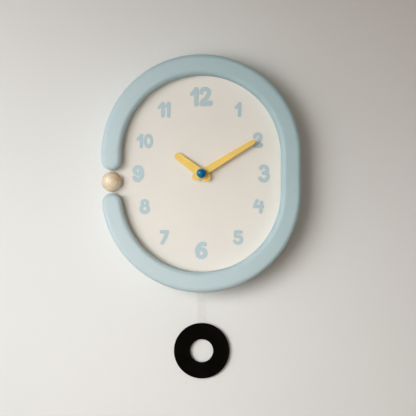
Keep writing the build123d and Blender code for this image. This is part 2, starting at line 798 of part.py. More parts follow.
with BuildPart() as motor_coil:
    with BuildSketch(Plane.YZ.offset(coil_left)):
        with Locations((-core_out, core_z - dial_drop)):
            RectangleRounded(4.4, 4.6, 0.5)
    extrude(amount=bobbin_cheek)
    with BuildSketch(Plane.YZ.offset(coil_right - bobbin_cheek)):
        with Locations((-core_out, core_z - dial_drop)):
            RectangleRounded(4.4, 4.6, 0.5)
    extrude(amount=bobbin_cheek)
    with BuildSketch(Plane.YZ.offset(coil_left + bobbin_cheek)):
        with Locations((-core_out, core_z - dial_drop)):
            RectangleRounded(3.9, 4.1, 1.6)
    extrude(amount=coil_right - coil_left - 2 * bobbin_cheek)
    with BuildSketch(Plane.YZ.offset(coil_left)):
        with Locations((-core_out, core_z - dial_drop)):
            Rectangle(0.9, core_height + 0.1)
    extrude(amount=coil_right - coil_left, mode=Mode.SUBTRACT)
save(motor_coil, "motor_coil")

with BuildPart() as pendulum_coil:
    for flange_back in (coil_back, coil_back + coil_length - coil_flange):
        with BuildSketch(out_plane(flange_back, 0, coil_z)):
            Circle(coil_flange_radius)
        extrude(amount=coil_flange)
    with BuildSketch(out_plane(coil_back, 0, coil_z)):
        Circle(coil_winding_radius)
    extrude(amount=coil_length)
    with BuildSketch(out_plane(coil_back, 0, coil_z)):
        Circle(1.5)
    extrude(amount=coil_length, mode=Mode.SUBTRACT)
save(pendulum_coil, "pendulum_coil")

battery_left = -battery_length / 2 - 0.4
battery_plane = Plane(origin=spot(battery_left, battery_out, battery_z), x_dir=(0, 1, 0), z_dir=(1, 0, 0))
nub_length = 1.0
strip_wide = 3.0
strip_back = 12.6
strip_bottom = battery_z - 4
strip_height = 50.0
contact_size = 8.0
tab_reach = 3.4
tab_height = 2.0
leaf_half_height = 2.5
leaf_half_width = 3.4

with BuildPart() as battery:
    with BuildSketch(battery_plane):
        Circle(battery_radius)
    extrude(amount=battery_length)
    fillet(battery.edges().filter_by(GeomType.CIRCLE), 0.5)
    with BuildSketch(battery_plane.offset(battery_length)):
        Circle(2.7)
    extrude(amount=nub_length)
save(battery, "battery")


def contact_strip(side):
    """A strip up one side wall from the battery to the board, where a tab turns in (side 1 right, -1 left)."""
    strip_x = side * (strip_inner + strip_thickness / 2)
    tab_x = side * (strip_inner + strip_thickness - tab_reach / 2)
    with BuildSketch(Plane.XY.offset(strip_bottom - dial_drop)) as strip:
        with Locations((strip_x, -strip_back - strip_wide / 2)):
            Rectangle(strip_thickness, strip_wide)
    extrude(strip.sketch, amount=strip_height)
    with BuildSketch(Plane.XY.offset(strip_bottom - dial_drop)) as pad:
        with Locations((strip_x, -battery_out)):
            Rectangle(strip_thickness, contact_size)
    extrude(pad.sketch, amount=contact_size)
    with BuildSketch(Plane.XY.offset(strip_bottom + strip_height - tab_height - dial_drop)) as tab:
        with Locations((tab_x, -strip_back - strip_thickness / 2)):
            Rectangle(tab_reach, strip_thickness)
    extrude(tab.sketch, amount=tab_height)


with BuildPart() as positive_contact:
    contact_strip(1)
save(positive_contact, "positive_contact")

bow_reach = battery_left + strip_inner
with BuildPart() as negative_contact:
    contact_strip(-1)
    # a bowed leaf presses on the flat end of the battery
    with BuildSketch(Plane.XY.offset(battery_z - leaf_half_height - dial_drop)):
        with BuildLine():
            bow = ThreePointArc(
                (-strip_inner, -battery_out - leaf_half_width),
                (-strip_inner + bow_reach, -battery_out),
                (-strip_inner, -battery_out + leaf_half_width),
            )
            Line(bow @ 1, bow @ 0)
        make_face()
    extrude(amount=2 * leaf_half_height)
save(negative_contact, "negative_contact")


# ---------------------------------------------------------------- wheel work
def gear_face(teeth, module, turn, broad):
    """A straight-flanked clock tooth form, wide on a wheel and narrow on a pinion, with a tooth at the turn."""
    width_share, addendum, dedendum = (0.44, 1.0, 1.25) if broad else (0.33, 0.7, 1.7)
    pitch_radius = teeth * module / 2
    half_tooth = width_share * 180 / teeth
    profile = (
        (pitch_radius - dedendum * module, half_tooth),
        (pitch_radius, half_tooth),
        (pitch_radius + 0.6 * addendum * module, 0.72 * half_tooth),
        (pitch_radius + addendum * module, 0.35 * half_tooth),
    )
    points = []
    for tooth in range(teeth):
        middle = turn + tooth * 360 / teeth
        points += [polar(radius, middle - half) for radius, half in profile]
        points += [polar(radius, middle + half) for radius, half in reversed(profile)]
    Polygon(*points, align=None)


def meshing_turn(teeth, turn, next_teeth, direction):
    """The turn at which the next gear, in this direction, has a gap facing a tooth of this gear."""
    return direction + 180 + (180 - teeth * (turn - direction)) / next_teeth


def wheel(back, thickness, place, teeth, module, turn, rim_radius):
    """A wheel of the part being built, its web lightened by five round holes inside the rim."""
    with BuildSketch(out_plane(back, *place)) as layer:
        gear_face(teeth, module, turn, True)
        with PolarLocations(rim_radius * 0.6, 5):
            Circle(rim_radius * 0.22, mode=Mode.SUBTRACT)
    extrude(layer.sketch, amount=thickness)


def pinion(mate_back, mate_thickness, place, teeth, module, turn):
    """A pinion of the part being built, standing a little past the wheel it meets on both sides."""
    with BuildSketch(out_plane(mate_back - pinion_margin, *place)) as layer:
        gear_face(teeth, module, turn, False)
    extrude(layer.sketch, amount=mate_thickness + 2 * pinion_margin)


def disc(back, front, radius, place=(0, 0), mode=Mode.ADD):
    """A plain round layer on the part being built."""
    with BuildSketch(out_plane(back, *place)) as layer:
        Circle(radius)
    extrude(layer.sketch, amount=front - back, mode=mode)


cannon_teeth = 12
minute_work_teeth = 48
minute_work_pinion_teeth = 12
hour_teeth = 36
setting_teeth = 12
centre_teeth = 64
third_pinion_teeth = 8
third_teeth = 60
seconds_pinion_teeth = 8
seconds_teeth = 60
intermediate_pinion_teeth = 10
intermediate_teeth = 50
rotor_pinion_teeth = 10

minute_module = 2 * motion_distance / (cannon_teeth + minute_work_teeth)
hour_module = 2 * motion_distance / (minute_work_pinion_teeth + hour_teeth)
centre_module = 2 * third_distance / (centre_teeth + third_pinion_teeth)
third_module = 2 * third_distance / (third_teeth + seconds_pinion_teeth)
seconds_module = 2 * intermediate_distance / (seconds_teeth + intermediate_pinion_teeth)
rotor_module = 2 * rotor_distance / (intermediate_teeth + rotor_pinion_teeth)

minute_work_turn = meshing_turn(cannon_teeth, 0, minute_work_teeth, minute_work_angle)
hour_turn = meshing_turn(minute_work_pinion_teeth, 0, hour_teeth, minute_work_angle + 180)
setting_turn = meshing_turn(minute_work_teeth, minute_work_turn, setting_teeth, setting_angle)
third_pinion_turn = meshing_turn(centre_teeth, 0, third_pinion_teeth, third_angle)
seconds_pinion_turn = meshing_turn(third_teeth, 0, seconds_pinion_teeth, third_angle + 180)
intermediate_pinion_turn = meshing_turn(seconds_teeth, 0, intermediate_pinion_teeth, intermediate_angle)
rotor_pinion_turn = meshing_turn(intermediate_teeth, 0, rotor_pinion_teeth, rotor_angle)

hand_thickness = 1.2
hand_chamfer = 0.3
hour_hand_back = 36.6
minute_hand_back = 39.8
minute_hand_front = minute_hand_back + hand_thickness
arbor_radius = 1.65
arbor_tip = minute_hand_front + 3.5

centre_back = 17.8
centre_front = centre_layer + web_thickness + pinion_margin
cannon_back = minute_layer - pinion_margin
cannon_front = minute_layer + motion_thickness + pinion_margin
seconds_pinion_back = third_layer - pinion_margin
seconds_pinion_front = third_layer + web_thickness + pinion_margin
hour_hub_back = hour_layer - pinion_margin
hour_hub_front = hour_layer + motion_thickness + pinion_margin
centre_arbor_radius = 1.0
clutch_gap = 0.03

# The minute arbor carries the cannon pinion and, in a clutch fit, the centre wheel.
with BuildPart() as minute_arbor:
    disc(centre_back - 0.3, cannon_back, centre_arbor_radius)
    pinion(minute_layer, motion_thickness, (0, 0), cannon_teeth, minute_module, 0)
    disc(cannon_front, minute_hand_front, arbor_radius)
    disc(minute_hand_front, arbor_tip, centre_arbor_radius)
save(minute_arbor, "minute_arbor")

with BuildPart() as centre_wheel:
    wheel(centre_layer, web_thickness, (0, 0), centre_teeth, centre_module, 0, 8.6)
    disc(centre_back, centre_front, 2.0)
    disc(centre_back, centre_front, centre_arbor_radius + clutch_gap, mode=Mode.SUBTRACT)
save(centre_wheel, "centre_wheel")

third_pinion_back = centre_layer - pinion_margin
third_pinion_front = centre_layer + web_thickness + pinion_margin
with BuildPart() as third_wheel:
    wheel(third_layer, web_thickness, third_spot, third_teeth, third_module, 0, 8.6)
    disc(rear_shoulder, third_layer, arbor_thick, third_spot)
    disc(rear_tip, rear_shoulder, pivot_thin, third_spot)
    disc(third_layer + web_thickness, third_pinion_back, arbor_thick, third_spot)
    pinion(centre_layer, web_thickness, third_spot, third_pinion_teeth, centre_module, third_pinion_turn)
    disc(third_pinion_front, third_boss_back + bearing_depth - 0.3, pivot_thin, third_spot)
save(third_wheel, "third_wheel")

with BuildPart() as seconds_wheel:
    wheel(seconds_layer, web_thickness, (0, 0), seconds_teeth, seconds_module, 0, 6.6)
    disc(rear_shoulder, seconds_pinion_back, arbor_thick)
    disc(rear_tip, rear_shoulder, pivot_thin)
    pinion(third_layer, web_thickness, (0, 0), seconds_pinion_teeth, third_module, seconds_pinion_turn)
    disc(seconds_pinion_front, front_tip, pivot_thin)
save(seconds_wheel, "seconds_wheel")

with BuildPart() as intermediate_wheel:
    wheel(third_layer, web_thickness, intermediate_spot, intermediate_teeth, rotor_module, 0, 4.8)
    pinion(
        seconds_layer,
        web_thickness,
        intermediate_spot,
        intermediate_pinion_teeth,
        seconds_module,
        intermediate_pinion_turn,
    )
    disc(rear_shoulder, front_shoulder, arbor_thick, intermediate_spot)
    disc(rear_tip, rear_shoulder, pivot_thin, intermediate_spot)
    disc(front_shoulder, front_tip, pivot_thin, intermediate_spot)
save(intermediate_wheel, "intermediate_wheel")

rotor_magnet_back = 12.5
rotor_magnet_front = 14.0
rotor_magnet_radius = 2.5
with BuildPart() as rotor:
    disc(rear_tip, rear_shoulder, pivot_thin, rotor_spot)
    disc(rear_shoulder, front_shoulder, arbor_thick, rotor_spot)
    disc(rotor_magnet_back, rotor_magnet_front, rotor_magnet_radius, rotor_spot)
    pinion(third_layer, web_thickness, rotor_spot, rotor_pinion_teeth, rotor_module, rotor_pinion_turn)
    disc(front_shoulder, front_tip, pivot_thin, rotor_spot)
save(rotor, "rotor")

with BuildPart() as minute_work_wheel:
    wheel(
        minute_layer,
        motion_thickness,
        minute_work_spot,
        minute_work_teeth,
        minute_module,
        minute_work_turn,
        7.4,
    )
    disc(minute_layer + motion_thickness, hour_hub_back, 1.6, minute_work_spot)
    pinion(hour_layer, motion_thickness, minute_work_spot, minute_work_pinion_teeth, hour_module, 0)
    disc(minute_layer, hour_hub_front, minute_work_post_radius + 0.05, minute_work_spot, mode=Mode.SUBTRACT)
save(minute_work_wheel, "minute_work_wheel")

pipe_front = hour_hand_back + hand_thickness + 0.4
with BuildPart() as hour_wheel:
    wheel(hour_layer, motion_thickness, (0, 0), hour_teeth, hour_module, hour_turn, 7.0)
    disc(hour_hub_back, hour_hub_front, 3.6)
    disc(hour_hub_front, pipe_front, pipe_radius)
    disc(hour_hub_back, pipe_front, arbor_radius + running_gap, mode=Mode.SUBTRACT)
save(hour_wheel, "hour_wheel")

knob_back = 5.9
knob_front = 8.9
knob_radius = 6.0
knob_flutes = 24
flute_radius = 0.35
setting_shoulder = setting_boss_back - running_gap
with BuildPart() as setting_knob:
    disc(knob_back, knob_front, knob_radius, setting_spot)
    with BuildSketch(out_plane(knob_back, *setting_spot)):
        with PolarLocations(knob_radius, knob_flutes):
            Circle(flute_radius)
    extrude(amount=knob_front - knob_back, mode=Mode.SUBTRACT)
    disc(knob_front, cannon_back, setting_arbor_radius, setting_spot)
    pinion(minute_layer, motion_thickness, setting_spot, setting_teeth, minute_module, setting_turn)
    disc(cannon_front, setting_shoulder, 1.2, setting_spot)
    disc(setting_shoulder, setting_boss_back + bearing_depth - 0.2, setting_tip_radius, setting_spot)
save(setting_knob, "setting_knob")

# ---------------------------------------------------------------- fixing through the dial
nut_across_flats = 10.0
washer_radius = 8.0

with BuildPart() as mounting_nut:
    with BuildSketch(out_plane(dial_front)):
        RegularPolygon(nut_across_flats / 2, 6, major_radius=False)
        Circle(bushing_radius, mode=Mode.SUBTRACT)
    extrude(amount=nut_thickness)
save(mounting_nut, "mounting_nut")

with BuildPart() as rubber_washer:
    with BuildSketch(out_plane(case_front)):
        Circle(washer_radius)
        Circle(bushing_radius + 0.2, mode=Mode.SUBTRACT)
    extrude(amount=dial_back - case_front)
save(rubber_washer, "rubber_washer")


# ---------------------------------------------------------------- hands
def hand_outline(tip_distance, tip_radius, tail_distance, tail_radius, bore):
    """A tapered bar between a small round tip and a larger round tail behind the pivot."""
    with Locations((tip_distance, 0)):
        Circle(tip_radius)
    with Locations((-tail_distance, 0)):
        Circle(tail_radius)
    make_hull()
    Circle(bore, mode=Mode.SUBTRACT)


with BuildPart() as hour_hand:
    with BuildSketch(out_plane(hour_hand_back, angle=hour_hand_angle)):
        hand_outline(36.5, 4.5, 7.4, 5.8, pipe_radius)
    extrude(amount=hand_thickness)
    chamfer(hour_hand.faces().sort_by(Axis.Y)[0].outer_wire().edges(), hand_chamfer)
save(hour_hand, "hour_hand")

with BuildPart() as minute_hand:
    with BuildSketch(out_plane(minute_hand_back, angle=minute_hand_angle)):
        hand_outline(76.0, 3.0, 8.0, 4.8, arbor_radius)
    extrude(amount=hand_thickness)
    chamfer(minute_hand.faces().sort_by(Axis.Y)[0].outer_wire().edges(), hand_chamfer)
save(minute_hand, "minute_hand")

cap_radius = 6.0
cap_flat = 5.5
with BuildPart() as cap_ball:
    with Locations(spot(0, minute_hand_front + cap_flat, 0)):
        Sphere(cap_radius)
    disc(minute_hand_front - cap_radius, minute_hand_front, cap_radius, mode=Mode.SUBTRACT)
    disc(minute_hand_front, arbor_tip + 0.2, centre_arbor_radius, mode=Mode.SUBTRACT)
save(cap_ball, "cap_ball")

# ---------------------------------------------------------------- pendulum
leader_back = 3.9
leader_front = 5.9
leader_bottom = -36.0
rod_back = 2.2
rod_front = 3.7
rod_width = 11.5
rod_top = -20.0
bob_back = 3.1
bob_thickness = 2.2
bob_chamfer = 0.3
pocket_gap = 0.05
bob_z = pendulum_pivot_z - pendulum_length
rod_bottom = bob_z + (bob_outer_radius + bob_inner_radius) / 2 - 5
magnet_radius = 3.5
magnet_front = 8.6
magnet_floor = 0.5
pin_back = 2.8
pin_front = 13.8
clip_radius = 2.6
clip_thickness = 0.5
clip_slot = 1.2
rod_pin_radius = 1.25
rod_pin_head_radius = 2.2
rod_pin_head_height = 0.6
rod_pin_spots = [(0.0, -25.0), (0.0, -32.0)]
leader_width = 6.0
leader_foot_height = 15.0
leader_foot_z = leader_bottom + leader_foot_height / 2

with BuildPart() as pivot_pin:
    disc(pin_back, pin_front, pivot_pin_radius, (0, pendulum_pivot_z))
save(pivot_pin, "pivot_pin")

with BuildPart() as pivot_clip:
    with BuildSketch(out_plane(leader_back - 0.3 - clip_thickness, 0, pendulum_pivot_z)):
        Circle(clip_radius)
        Circle(pivot_pin_radius, mode=Mode.SUBTRACT)
        with Locations((0, clip_radius)):
            Rectangle(clip_slot, 2 * clip_radius, mode=Mode.SUBTRACT)
    extrude(amount=clip_thickness)
save(pivot_clip, "pivot_clip")

with BuildPart() as pendulum_leader:
    with BuildSketch(out_plane(leader_back)):
        round_holes([(0, pendulum_pivot_z)], 3.6)
        round_holes([(0, coil_z)], magnet_radius + 1.7)
        with Locations((0, (pendulum_pivot_z + leader_bottom) / 2)):
            SlotCenterToCenter(pendulum_pivot_z - leader_bottom - leader_width, leader_width, rotation=90)
        with Locations((0, leader_foot_z)):
            RectangleRounded(rod_width, leader_foot_height, 2)
    extrude(amount=leader_front - leader_back)
    disc(leader_back, leader_front, pivot_pin_radius + 0.05, (0, pendulum_pivot_z), Mode.SUBTRACT)
    disc(leader_back + magnet_floor, leader_front, magnet_radius, (0, coil_z), Mode.SUBTRACT)
    for rod_pin_spot in rod_pin_spots:
        disc(leader_back, leader_front, rod_pin_radius, rod_pin_spot, Mode.SUBTRACT)
save(pendulum_leader, "pendulum_leader")

with BuildPart() as leader_magnet:
    disc(leader_back + magnet_floor, magnet_front, magnet_radius, (0, coil_z))
save(leader_magnet, "leader_magnet")

with BuildPart() as rod_pins:
    for rod_pin_spot in rod_pin_spots:
        disc(rod_back - rod_pin_head_height, rod_back, rod_pin_head_radius, rod_pin_spot)
        disc(rod_back, leader_front, rod_pin_radius, rod_pin_spot)
save(rod_pins, "rod_pins")

with BuildPart() as pendulum_rod:
    with BuildSketch(out_plane(rod_back, 0, (rod_top + rod_bottom) / 2)):
        RectangleRounded(rod_width, rod_top - rod_bottom, 0.8)
    extrude(amount=rod_front - rod_back)
    for rod_pin_spot in rod_pin_spots:
        disc(rod_back, rod_front, rod_pin_radius, rod_pin_spot, Mode.SUBTRACT)
save(pendulum_rod, "pendulum_rod")

with BuildPart() as pendulum_bob:
    with BuildSketch(out_plane(bob_back, 0, bob_z)):
        Circle(bob_outer_radius)
        Circle(bob_inner_radius, mode=Mode.SUBTRACT)
    extrude(amount=bob_thickness)
    chamfer(pendulum_bob.faces().sort_by(Axis.Y)[0].edges(), bob_chamfer)
    # the rod's end is glued into a shallow pocket in the back
    with BuildSketch(out_plane(bob_back, 0, rod_bottom - pocket_gap)):
        Rectangle(rod_width + 2 * pocket_gap, bob_outer_radius, align=(Align.CENTER, Align.MIN))
    extrude(amount=rod_front - bob_back, mode=Mode.SUBTRACT)
save(pendulum_bob, "pendulum_bob")
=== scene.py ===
import json
import math

import bpy
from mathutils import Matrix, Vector


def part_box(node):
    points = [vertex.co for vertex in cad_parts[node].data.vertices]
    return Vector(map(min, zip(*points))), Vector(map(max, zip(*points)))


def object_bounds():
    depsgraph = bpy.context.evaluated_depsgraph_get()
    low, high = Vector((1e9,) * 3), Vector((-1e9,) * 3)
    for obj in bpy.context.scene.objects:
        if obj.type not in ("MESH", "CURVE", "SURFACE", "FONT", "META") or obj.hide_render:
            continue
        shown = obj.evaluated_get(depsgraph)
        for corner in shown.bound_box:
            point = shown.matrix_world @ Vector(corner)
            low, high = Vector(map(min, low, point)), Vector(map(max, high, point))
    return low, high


# The pendulum wall clock's looks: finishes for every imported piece, the wall behind it, light and camera.
# Lengths are in metres in the row's frame: X right, +Y into the wall, Z up.

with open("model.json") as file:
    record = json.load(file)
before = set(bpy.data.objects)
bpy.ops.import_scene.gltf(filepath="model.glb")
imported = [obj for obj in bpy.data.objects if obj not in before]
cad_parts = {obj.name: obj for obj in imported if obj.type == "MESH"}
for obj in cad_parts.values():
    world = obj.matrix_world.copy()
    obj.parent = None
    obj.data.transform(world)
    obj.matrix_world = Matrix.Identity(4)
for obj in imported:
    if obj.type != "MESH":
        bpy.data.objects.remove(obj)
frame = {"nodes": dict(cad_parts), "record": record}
nodes = frame["nodes"]
cad_low, cad_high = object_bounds()

dial_low, dial_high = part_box("dial_plate")
dial_centre = (dial_low + dial_high) / 2
ball_low, ball_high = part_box("wooden_ball")
ball_centre = (ball_low + ball_high) / 2
frame_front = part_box("frame_shell")[0].y

# The camera looks straight at the wall, from a little right of the dial's centre and below it.
CAMERA_SIDE = 0.0083
CAMERA_DROP = 0.0436
CAMERA_DISTANCE = 1.2
VIEW_WIDTH = 0.5215
SENSOR = 36.0
CLIP_NEAR, CLIP_FAR = 0.01, 20

WALL_GAP = 0.0002
FLOOR_DROP = 1.5
ROOM_HALF = 3.0

# Pieces that the lamps behind the wall leave alone.
FRONT_PIECES = ("wooden_ball", "cap_ball", "hour_hand", "minute_hand", "pendulum_rod")

NOISE_BODY = (0.3, 0.7)  # the stretch that most values of a noise texture fall in
WAVE_SCALE = 0.314  # a wave texture of scale 1 repeats every this many metres
PAINTED_LIGHT_SIDE = (-0.8, 0.0, -0.6)  # the way the key light comes from; the frame's colour is painted paler on the side facing it
PAINTED_SHADE_REACH = 0.13  # how far each way from the dial's centre the frame's painted light and shade goes on changing


class Finish:
    """A material's node graph on a Principled shader, with a call for each kind of node the finishes use."""

    def __init__(self, name, roughness=0.5, metallic=0.0, specular=0.5, coat=0.0, coat_roughness=0.1):
        self.material = bpy.data.materials.new(name)
        self.material.use_nodes = True
        self.tree = self.material.node_tree
        self.tree.nodes.clear()
        self.output = self.add("ShaderNodeOutputMaterial")
        self.shader = self.add("ShaderNodeBsdfPrincipled")
        self.link(self.shader.outputs["BSDF"], self.output.inputs["Surface"])
        self.shader.inputs["Roughness"].default_value = roughness
        self.shader.inputs["Metallic"].default_value = metallic
        self.shader.inputs["Specular IOR Level"].default_value = specular
        self.shader.inputs["Coat Weight"].default_value = coat
        self.shader.inputs["Coat Roughness"].default_value = coat_roughness
        self.place = self.add("ShaderNodeTexCoord").outputs["Object"]

    def add(self, kind, **settings):
        node = self.tree.nodes.new(kind)
        for key, value in settings.items():
            setattr(node, key, value)
        return node

    def link(self, source, target):
        self.tree.links.new(source, target)

    def put(self, node, name, value):
        """Sets a node's input, found by name, to a fixed value."""
        node.inputs[name].default_value = value

    def moved(self, centre=(0, 0, 0), turn=(0, 0, 0), stretch=(1, 1, 1)):
        """Object coordinates about a centre, stretched, then turned."""
        shifted = self.add("ShaderNodeVectorMath", operation="SUBTRACT")
        self.link(self.place, shifted.inputs[0])
        shifted.inputs[1].default_value = centre
        mapping = self.add("ShaderNodeMapping")
        self.link(shifted.outputs[0], mapping.inputs["Vector"])
        mapping.inputs["Rotation"].default_value = turn
        mapping.inputs["Scale"].default_value = stretch
        return mapping.outputs[0]

    def noise(self, size, detail=2.0, roughness=0.5, distortion=0.0, place=None):
        """Noise whose features are about this many metres across."""
        node = self.add("ShaderNodeTexNoise")
        self.link(place or self.place, node.inputs["Vector"])
        self.put(node, "Scale", 1 / size)
        self.put(node, "Detail", detail)
        self.put(node, "Roughness", roughness)
        self.put(node, "Distortion", distortion)
        return node.outputs["Fac"]

    def cells(self, size, output="Distance"):
        """Cells about this many metres across: the distance to each one's middle, or its random colour."""
        node = self.add("ShaderNodeTexVoronoi", feature="F1")
        self.link(self.place, node.inputs["Vector"])
        self.put(node, "Scale", 1 / size)
        return node.outputs[output]

    def waves(self, size, kind="BANDS", direction="X", distortion=0.0, detail=2.0, detail_scale=1.0,
              place=None):
        """Sine bands or rings, one every this many metres."""
        node = self.add("ShaderNodeTexWave", wave_type=kind, wave_profile="SIN")
        if kind == "BANDS":
            node.bands_direction = direction
        else:
            node.rings_direction = direction
        self.link(place or self.place, node.inputs["Vector"])
        self.put(node, "Scale", WAVE_SCALE / size)
        self.put(node, "Distortion", distortion)
        self.put(node, "Detail", detail)
        self.put(node, "Detail Scale", detail_scale)
        return node.outputs["Fac"]

    def span(self, value, low, high, start=0.0, end=1.0):
        """Maps start..end to low..high, clamped."""
        node = self.add("ShaderNodeMapRange")
        self.link(value, node.inputs["Value"])
        self.put(node, "From Min", start)
        self.put(node, "From Max", end)
        self.put(node, "To Min", low)
        self.put(node, "To Max", high)
        return node.outputs["Result"]

    def maths(self, operation, first, second):
        """A sum on two values, each a socket or a number."""
        node = self.add("ShaderNodeMath", operation=operation)
        for socket, value in zip(node.inputs, (first, second)):
            if isinstance(value, bpy.types.NodeSocket):
                self.link(value, socket)
            else:
                socket.default_value = value
        return node.outputs[0]

    def blend(self, factor, first, second):
        """Mixes two colours, each a socket or three numbers."""
        node = self.add("ShaderNodeMix", data_type="RGBA", blend_type="MIX")
        for socket, value in ((node.inputs[0], factor), (node.inputs[6], first), (node.inputs[7], second)):
            if isinstance(value, bpy.types.NodeSocket):
                self.link(value, socket)
            elif isinstance(value, tuple):
                socket.default_value = (*value, 1)
            else:
                socket.default_value = value
        return node.outputs[2]

    def colour(self, socket):
        self.link(socket, self.shader.inputs["Base Color"])

    def roughness(self, socket):
        self.link(socket, self.shader.inputs["Roughness"])

    def bumps(self, *layers):
        """Height layers as (socket, depth in metres, strength), each on top of the one before."""
        normal = None
        for height, depth, strength in layers:
            node = self.add("ShaderNodeBump")
            self.link(height, node.inputs["Height"])
            self.put(node, "Distance", depth)
            self.put(node, "Strength", strength)
            if normal:
                self.link(normal, node.inputs["Normal"])
            normal = node.outputs["Normal"]
        self.link(normal, self.shader.inputs["Normal"])


def shade(colour, factor):
    return tuple(min(1.0, part * factor) for part in colour)


def moulded(name, colour, grain, depth, roughness, variation=0.03, gloss_change=0.08, specular=0.5,
            scuffs=0.0, painted_shade_colour=None):
    """Moulded plastic: faint flow mottling, fine tool grain, and a few soft scuffs.

    Given a shade colour, it gets painted light and shade: paler toward the key light, darker away from it.
    """
    finish = Finish(name, specular=specular)
    mottle = finish.noise(0.03, 3, 0.55, 0.4)
    speck = finish.noise(grain, 2, 0.6)
    darker, lighter = shade(colour, 1 - variation), shade(colour, 1 + variation)
    tone = finish.blend(finish.span(mottle, 0, 1, *NOISE_BODY), darker, lighter)
    # Painted light and shade: the colour turns from the paler tone toward the key light to the shade colour
    # away from it.
    if painted_shade_colour:
        toward_painted_light = finish.add("ShaderNodeVectorMath", operation="DOT_PRODUCT")
        finish.link(finish.moved(centre=tuple(dial_centre)), toward_painted_light.inputs[0])
        toward_painted_light.inputs[1].default_value = PAINTED_LIGHT_SIDE
        shaded = finish.span(toward_painted_light.outputs["Value"], 1, 0, -PAINTED_SHADE_REACH, PAINTED_SHADE_REACH)
        tone = finish.blend(shaded, tone, painted_shade_colour)
    tone = finish.blend(finish.span(speck, 0, 0.25, 0.45, 0.75), tone, shade(colour, 1 + 2.2 * variation))
    gloss = finish.span(mottle, roughness - gloss_change, roughness + gloss_change, *NOISE_BODY)
    if scuffs:
        across_scuffs = finish.moved(turn=(0.3, 0.5, 0.9), stretch=(1, 0.35, 0.12))
        streaks = finish.noise(0.004, 4, 0.7, 1.5, across_scuffs)
        mask = finish.span(streaks, 0, scuffs, 0.66, 0.74)
        tone = finish.blend(mask, tone, shade(colour, 1.12))
        gloss = finish.maths("ADD", gloss, finish.maths("MULTIPLY", mask, -0.12))
    finish.colour(tone)
    finish.roughness(gloss)
    finish.bumps((mottle, 0.0002, 0.15), (speck, depth, 0.5))
    return finish.material


def metal(name, colour, roughness, brush, spangle=0.0, stain=None):
    """Metal with a brushed or drawn grain, plated spangles if asked for, and light tarnish."""
    finish = Finish(name, metallic=1.0)
    drawn = finish.noise(0.0004, 3, 0.65, 0, finish.moved(stretch=brush))
    patch = finish.noise(0.006, 4, 0.6, 0.8)
    tone = finish.blend(finish.span(drawn, 0, 1, 0.35, 0.65), shade(colour, 0.9), shade(colour, 1.06))
    if spangle:
        facets = finish.cells(spangle, output="Color")
        grey = finish.add("ShaderNodeRGBToBW")
        finish.link(facets, grey.inputs[0])
        tone = finish.blend(finish.span(grey.outputs[0], 0.0, 0.5), tone, shade(colour, 1.2))
    tone = finish.blend(finish.span(patch, 0, 0.45, 0.5, 0.8), tone, stain or shade(colour, 0.75))
    finish.colour(tone)
    gloss = finish.span(drawn, roughness - 0.08, roughness + 0.08, *NOISE_BODY)
    finish.roughness(finish.maths("ADD", gloss, finish.span(patch, 0, 0.18, 0.5, 0.8)))
    finish.bumps((drawn, 0.00002, 0.6))
    return finish.material


def painted_dial():
    """Cream paint over a pressed board: a very fine roller stipple and slow changes of tone."""
    cream = (0.815, 0.797, 0.727)
    finish = Finish("dial_paint", specular=0.35)
    clouds = finish.noise(0.06, 3, 0.5, 0.3)
    stipple = finish.noise(0.0009, 3, 0.6)
    fibre = finish.noise(0.0006, 2, 0.5, 0, finish.moved(stretch=(1, 1, 0.12)))
    tone = finish.blend(finish.span(clouds, 0, 1, *NOISE_BODY), shade(cream, 0.985), shade(cream, 1.012))
    tone = finish.blend(finish.span(fibre, 0, 0.3, 0.55, 0.8), tone, shade(cream, 0.955))
    finish.colour(tone)
    finish.roughness(finish.span(stipple, 0.5, 0.68, *NOISE_BODY))
    finish.bumps((stipple, 0.00004, 0.4), (fibre, 0.00003, 0.3))
    return finish.material


